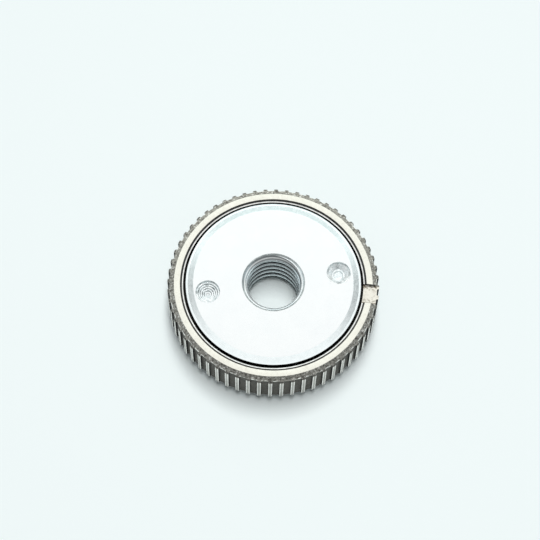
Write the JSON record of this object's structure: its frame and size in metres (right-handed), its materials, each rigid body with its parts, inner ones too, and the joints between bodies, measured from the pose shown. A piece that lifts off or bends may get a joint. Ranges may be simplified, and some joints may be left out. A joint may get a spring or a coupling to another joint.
{
  "type": "quick release grinder nut",
  "caption": "Quick release clamping nut for an angle grinder: knurled turning ring round a plated threaded hub with spanner holes, wedge blocks and pressure plate inside.",
  "frame": {"origin": "centre of the clamping face that the nut stands on", "axes": "+Z along the thread, from the clamping face to the face with the spanner holes; +X through the spanner holes, towards the side of the ring's slot"},
  "size_m": [0.0482, 0.0482, 0.013],
  "materials": {
    "zinc_plated_steel": "satin",
    "sintered_steel": "satin",
    "hardened_steel": "satin",
    "ground_steel": "satin",
    "bright_steel": "polished",
    "spring_steel": "satin",
    "black_rubber": "matte"
  },
  "bodies": {
    "nut": {"hub_nut": "zinc_plated_steel", "retaining_clip": "spring_steel", "lift_spring": "spring_steel", "return_spring_1": "spring_steel", "return_spring_2": "spring_steel", "return_spring_3": "spring_steel"},
    "ring": {"knurled_ring": "sintered_steel", "cam_ring": "hardened_steel", "spring_pins": "hardened_steel"},
    "plate": {"pressure_plate": "ground_steel", "seal_ring": "black_rubber"},
    "block_1": {"wedge_block_1": "hardened_steel"},
    "roll_1": {"roller_1": "bright_steel"},
    "block_2": {"wedge_block_2": "hardened_steel"},
    "roll_2": {"roller_2": "bright_steel"},
    "block_3": {"wedge_block_3": "hardened_steel"},
    "roll_3": {"roller_3": "bright_steel"},
    "block_4": {"wedge_block_4": "hardened_steel"},
    "roll_4": {"roller_4": "bright_steel"},
    "block_5": {"wedge_block_5": "hardened_steel"},
    "roll_5": {"roller_5": "bright_steel"},
    "block_6": {"wedge_block_6": "hardened_steel"},
    "roll_6": {"roller_6": "bright_steel"}
  },
  "joints": [
    {"name": "ring_turn", "type": "hinge", "parent": "nut", "child": "ring", "pos_m": [0, 0, 0.008], "axis": [0, 0, 1], "range_deg": [0, 27], "stiffness_Nm_per_rad": 0.12, "springref_deg": -20.05, "deforming": ["return_spring_1", "return_spring_2", "return_spring_3"]},
    {"name": "plate_lift", "type": "slide", "parent": "nut", "child": "plate", "axis": [0, 0, 1], "range_m": [0, 0.000401], "stiffness_N_per_m": 50, "springref_m": -0.04, "deforming": ["lift_spring"]},
    {"name": "block_1_out", "type": "slide", "parent": "nut", "child": "block_1", "axis": [0.866, 0.5, 0], "range_m": [0, 0.001]},
    {"name": "roller_1_spin", "type": "hinge", "parent": "block_1", "child": "roll_1", "pos_m": [0.01498, 0.00865, 0.00725], "axis": [0, 0, 1], "continuous": true},
    {"name": "block_2_out", "type": "slide", "parent": "nut", "child": "block_2", "axis": [0, 1, 0], "range_m": [0, 0.001]},
    {"name": "roller_2_spin", "type": "hinge", "parent": "block_2", "child": "roll_2", "pos_m": [0, 0.0173, 0.00725], "axis": [0, 0, 1], "continuous": true},
    {"name": "block_3_out", "type": "slide", "parent": "nut", "child": "block_3", "axis": [-0.866, 0.5, 0], "range_m": [0, 0.001]},
    {"name": "roller_3_spin", "type": "hinge", "parent": "block_3", "child": "roll_3", "pos_m": [-0.01498, 0.00865, 0.00725], "axis": [0, 0, 1], "continuous": true},
    {"name": "block_4_out", "type": "slide", "parent": "nut", "child": "block_4", "axis": [-0.866, -0.5, 0], "range_m": [0, 0.001]},
    {"name": "roller_4_spin", "type": "hinge", "parent": "block_4", "child": "roll_4", "pos_m": [-0.01498, -0.00865, 0.00725], "axis": [0, 0, 1], "continuous": true},
    {"name": "block_5_out", "type": "slide", "parent": "nut", "child": "block_5", "axis": [0, -1, 0], "range_m": [0, 0.001]},
    {"name": "roller_5_spin", "type": "hinge", "parent": "block_5", "child": "roll_5", "pos_m": [0, -0.0173, 0.00725], "axis": [0, 0, 1], "continuous": true},
    {"name": "block_6_out", "type": "slide", "parent": "nut", "child": "block_6", "axis": [0.866, -0.5, 0], "range_m": [0, 0.001]},
    {"name": "roller_6_spin", "type": "hinge", "parent": "block_6", "child": "roll_6", "pos_m": [0.01498, -0.00865, 0.00725], "axis": [0, 0, 1], "continuous": true}
  ],
  "couplings": [
    {"joint": "plate_lift", "follows": "ring_turn", "m_per_rad": 0.00084883},
    {"joint": "block_1_out", "follows": "ring_turn", "m_per_rad": 0.0021221},
    {"joint": "block_2_out", "follows": "ring_turn", "m_per_rad": 0.0021221},
    {"joint": "block_3_out", "follows": "ring_turn", "m_per_rad": 0.0021221},
    {"joint": "block_4_out", "follows": "ring_turn", "m_per_rad": 0.0021221},
    {"joint": "block_5_out", "follows": "ring_turn", "m_per_rad": 0.0021221},
    {"joint": "block_6_out", "follows": "ring_turn", "m_per_rad": 0.0021221}
  ]
}
